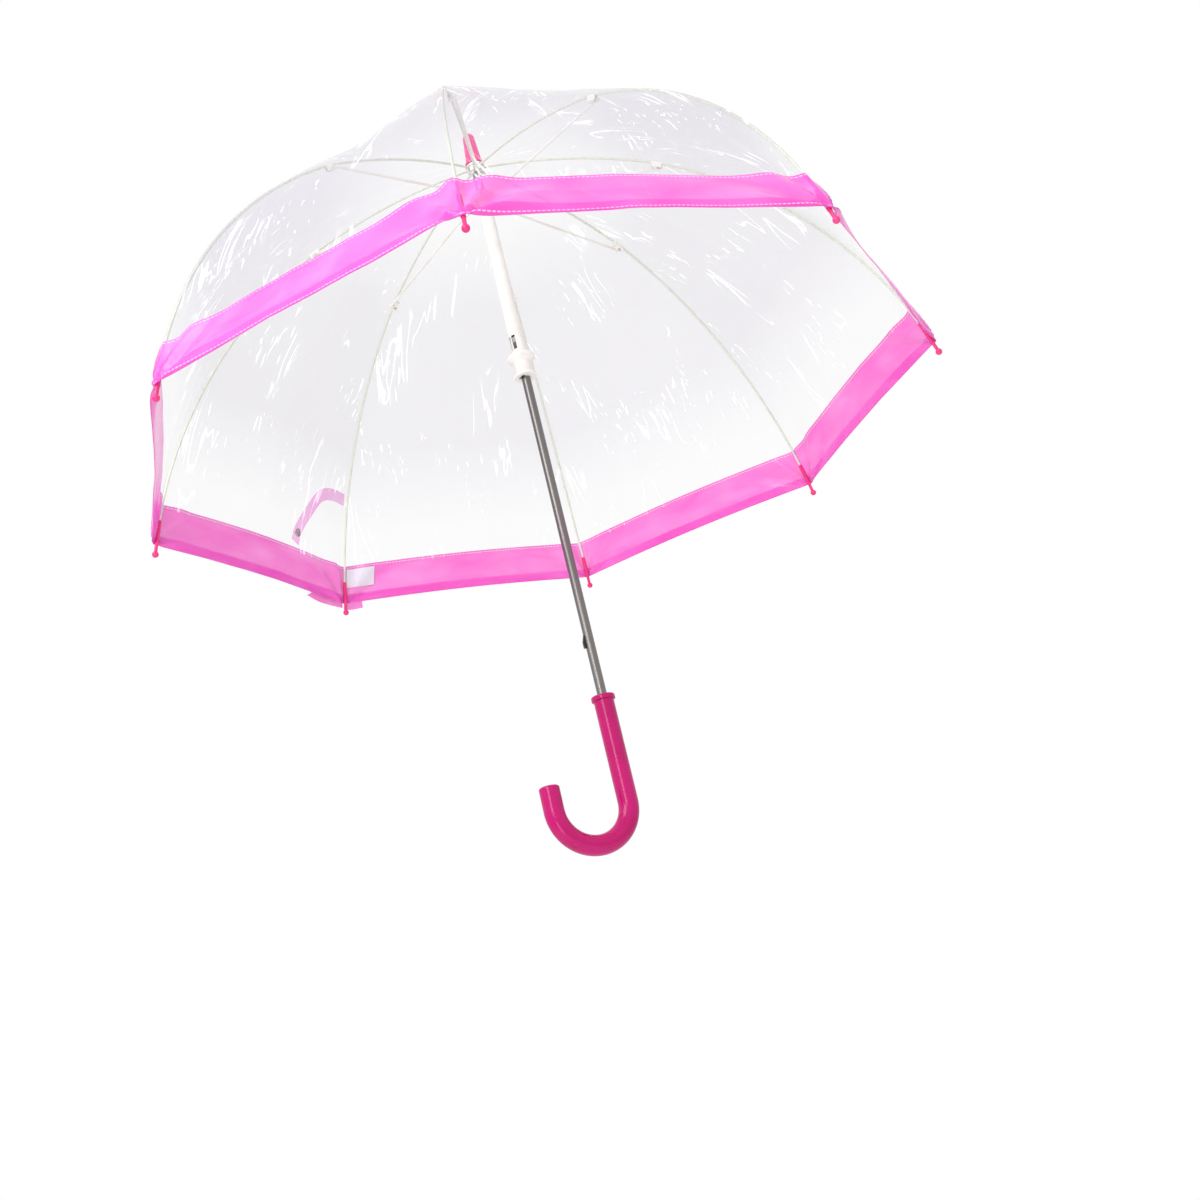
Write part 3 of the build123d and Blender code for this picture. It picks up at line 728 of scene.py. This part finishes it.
def press_stud(sideways, height):
    """A pressed cap with a rolled rim and a dimple, spun about its own axis and set square on the strap."""
    mesh = bmesh.new()
    corners = [mesh.verts.new((x * MM, 0, z * MM)) for x, z in STUD_OUTLINE]
    for a, b in zip(corners, corners[1:]):
        mesh.edges.new((a, b))
    bmesh.ops.spin(mesh, geom=mesh.verts[:] + mesh.edges[:], cent=(0, 0, 0), axis=(0, 0, 1),
                   angle=2 * pi, steps=28, use_merge=True, use_duplicate=False)
    bmesh.ops.remove_doubles(mesh, verts=mesh.verts, dist=0.01 * MM)
    bmesh.ops.holes_fill(mesh, edges=[e for e in mesh.edges if e.is_boundary], sides=0)
    bmesh.ops.recalc_face_normals(mesh, faces=mesh.faces)
    down = down_to_height(height)
    seat = beside_rib(1, sideways, down, STUD_LIFT)
    beside = beside_rib(1, sideways + 2 * MM, down, STUD_LIFT) - seat
    below = beside_rib(1, sideways, down + 2 * MM, STUD_LIFT) - seat
    out = below.cross(beside).normalized()
    if out.dot(Vector((seat.x, seat.y, 0))) < 0:
        out.negate()
    bmesh.ops.transform(mesh, verts=mesh.verts,
                        matrix=Matrix.Translation(seat) @ out.to_track_quat("Z", "Y").to_matrix().to_4x4())
    for face in mesh.faces:
        face.smooth = True
    return new_piece("strap_stud", mesh, stud_metal)


stud = press_stud(72 * MM, 332 * MM)
sew_on(stud)

# %% [markdown]
# ## Woven label
# The label is white satin-woven polyester with cut and sealed ends. A weave that fine only shows as a soft
# sheen and a few slightly darker threads, so a stretched pattern of thin lines stands for it. It is plain.

# %% The label
THREAD_SPACING = 0.25 * MM
LABEL_HEIGHT = 19 * MM


def make_label_satin():
    made, tree, shader = new_material("satin_woven_polyester_label", Roughness=0.45, IOR=1.5,
                                      Sheen_Weight=0.3)
    place = add_node(tree, "ShaderNodeTexCoord").outputs["UV"]
    threads = add_node(tree, "ShaderNodeTexWave",
                       {"bands_direction": "Y", "Scale": 1 / (2 * pi * THREAD_SPACING) * 0.5,
                        "Distortion": 0.6, "Detail": 1.0}, {"Vector": place})
    shade = add_node(tree, "ShaderNodeValToRGB",
                     {"stops": [(0.0, linear("#DCD5E2")), (1.0, linear("#EAE5EF"))]},
                     {"Fac": threads.outputs["Fac"]})
    bump = add_node(tree, "ShaderNodeBump", {"Strength": 0.3, "Distance": 0.1 * MM},
                    {"Height": threads.outputs["Fac"]})
    tree.links.new(shade.outputs[0], shader.inputs["Base Color"])
    tree.links.new(bump.outputs["Normal"], shader.inputs["Normal"])
    return made


label_down = RIM - 26 * MM
label_points = [(sideways * MM, label_down) for sideways in (2, 15, 31)]
label, label_length = ribbon("care_label", -1, label_points, LABEL_HEIGHT, 16, -1.6 * MM,
                             make_label_satin())
sew_on(label)
print(f"label {label_length * 1000:.0f} x {LABEL_HEIGHT * 1000:.0f} mm")

# %% [markdown]
# ## Camera, light and floor
# The umbrella is seen from below and in front, as if it hung at eye level over the viewer, so the camera
# looks up into the dome. The light is a white surround with three soft panels that give the film and the
# glossy handle their highlights.

# %% Camera
scene = bpy.context.scene
camera = bpy.data.objects.new("camera", bpy.data.cameras.new("camera"))
camera.data.lens = 43.43
camera.data.sensor_width = 36.0
camera.location = (0.4767, 1.0289, -0.2692)
camera.rotation_euler = Euler([radians(a) for a in (109.878, 13.029, 158.963)])
camera.data.clip_end = 50
scene.collection.objects.link(camera)
scene.camera = camera
print("camera", round(camera.location.length, 3), "m from the grip")

# %% Light and floor
world = bpy.data.worlds.new("studio")
world.use_nodes = True
air = world.node_tree
surround = air.nodes["Background"]
surround.inputs["Color"].default_value = (1, 1, 1, 1)
# The eye sees a white backdrop. The object is lit by a softer sky, bright above and dim below, so that
# glossy plastic and metal have something to mirror.
upward = add_node(air, "ShaderNodeSeparateXYZ",
                  links={"Vector": add_node(air, "ShaderNodeTexCoord").outputs["Generated"]}).outputs["Z"]
height = add_node(air, "ShaderNodeMapRange", {"From Min": -1.0}, {"Value": upward})
sky_stops = [(0.0, grey(0.62)), (0.42, grey(0.68)), (0.60, grey(0.90)), (1.0, grey(1.0))]
sky = add_node(air, "ShaderNodeBackground", {"Strength": 1.0},
               {"Color": add_node(air, "ShaderNodeValToRGB", {"stops": sky_stops}, {"Fac": height})})
seen = add_node(air, "ShaderNodeLightPath").outputs["Is Camera Ray"]
chosen = add_node(air, "ShaderNodeMixShader", links={0: seen, 1: sky.outputs[0], 2: surround.outputs[0]})
air.links.new(chosen.outputs[0], air.nodes["World Output"].inputs["Surface"])
scene.world = world
scene.view_settings.view_transform = "Standard"


def soft_panel(name, place, target, size, power):
    light = bpy.data.objects.new(name, bpy.data.lights.new(name, "AREA"))
    light.data.shape, light.data.size, light.data.energy = "SQUARE", size, power
    light.location = place
    light.rotation_euler = (Vector(place) - Vector(target)).to_track_quat("Z", "Y").to_euler()
    scene.collection.objects.link(light)


soft_panel("key", (1.7, 1.0, 1.5), (0, 0, 0.35), 1.3, 24)
soft_panel("fill", (1.3, 1.55, 0.42), (0, 0, 0.1), 0.65, 6)
soft_panel("low", (1.1, 1.4, -0.5), (0, 0, 0.2), 0.6, 3)

FLOOR_HEIGHT = -0.75


def make_floor_paint():
    """Matt white paint that thins out with distance, so that the floor has no hard horizon."""
    made, tree, shader = new_material("matt_white_studio_floor", Roughness=0.9)
    shader.inputs["Base Color"].default_value = linear("#FAFAFA")
    place = add_node(tree, "ShaderNodeTexCoord").outputs["Object"]
    away = add_node(tree, "ShaderNodeVectorMath", {"operation": "LENGTH"}, {0: place}).outputs["Value"]
    thinner = add_node(tree, "ShaderNodeMapRange",
                       {"From Min": 1.2, "From Max": 3.0, "To Min": 1.0, "To Max": 0.0}, {"Value": away})
    tree.links.new(thinner.outputs[0], shader.inputs["Alpha"])
    return made


floor_mesh = bmesh.new()
bmesh.ops.create_circle(floor_mesh, cap_ends=True, segments=64, radius=3.2)
bmesh.ops.translate(floor_mesh, verts=floor_mesh.verts, vec=(0, 0, FLOOR_HEIGHT))
new_piece("floor", floor_mesh, make_floor_paint())
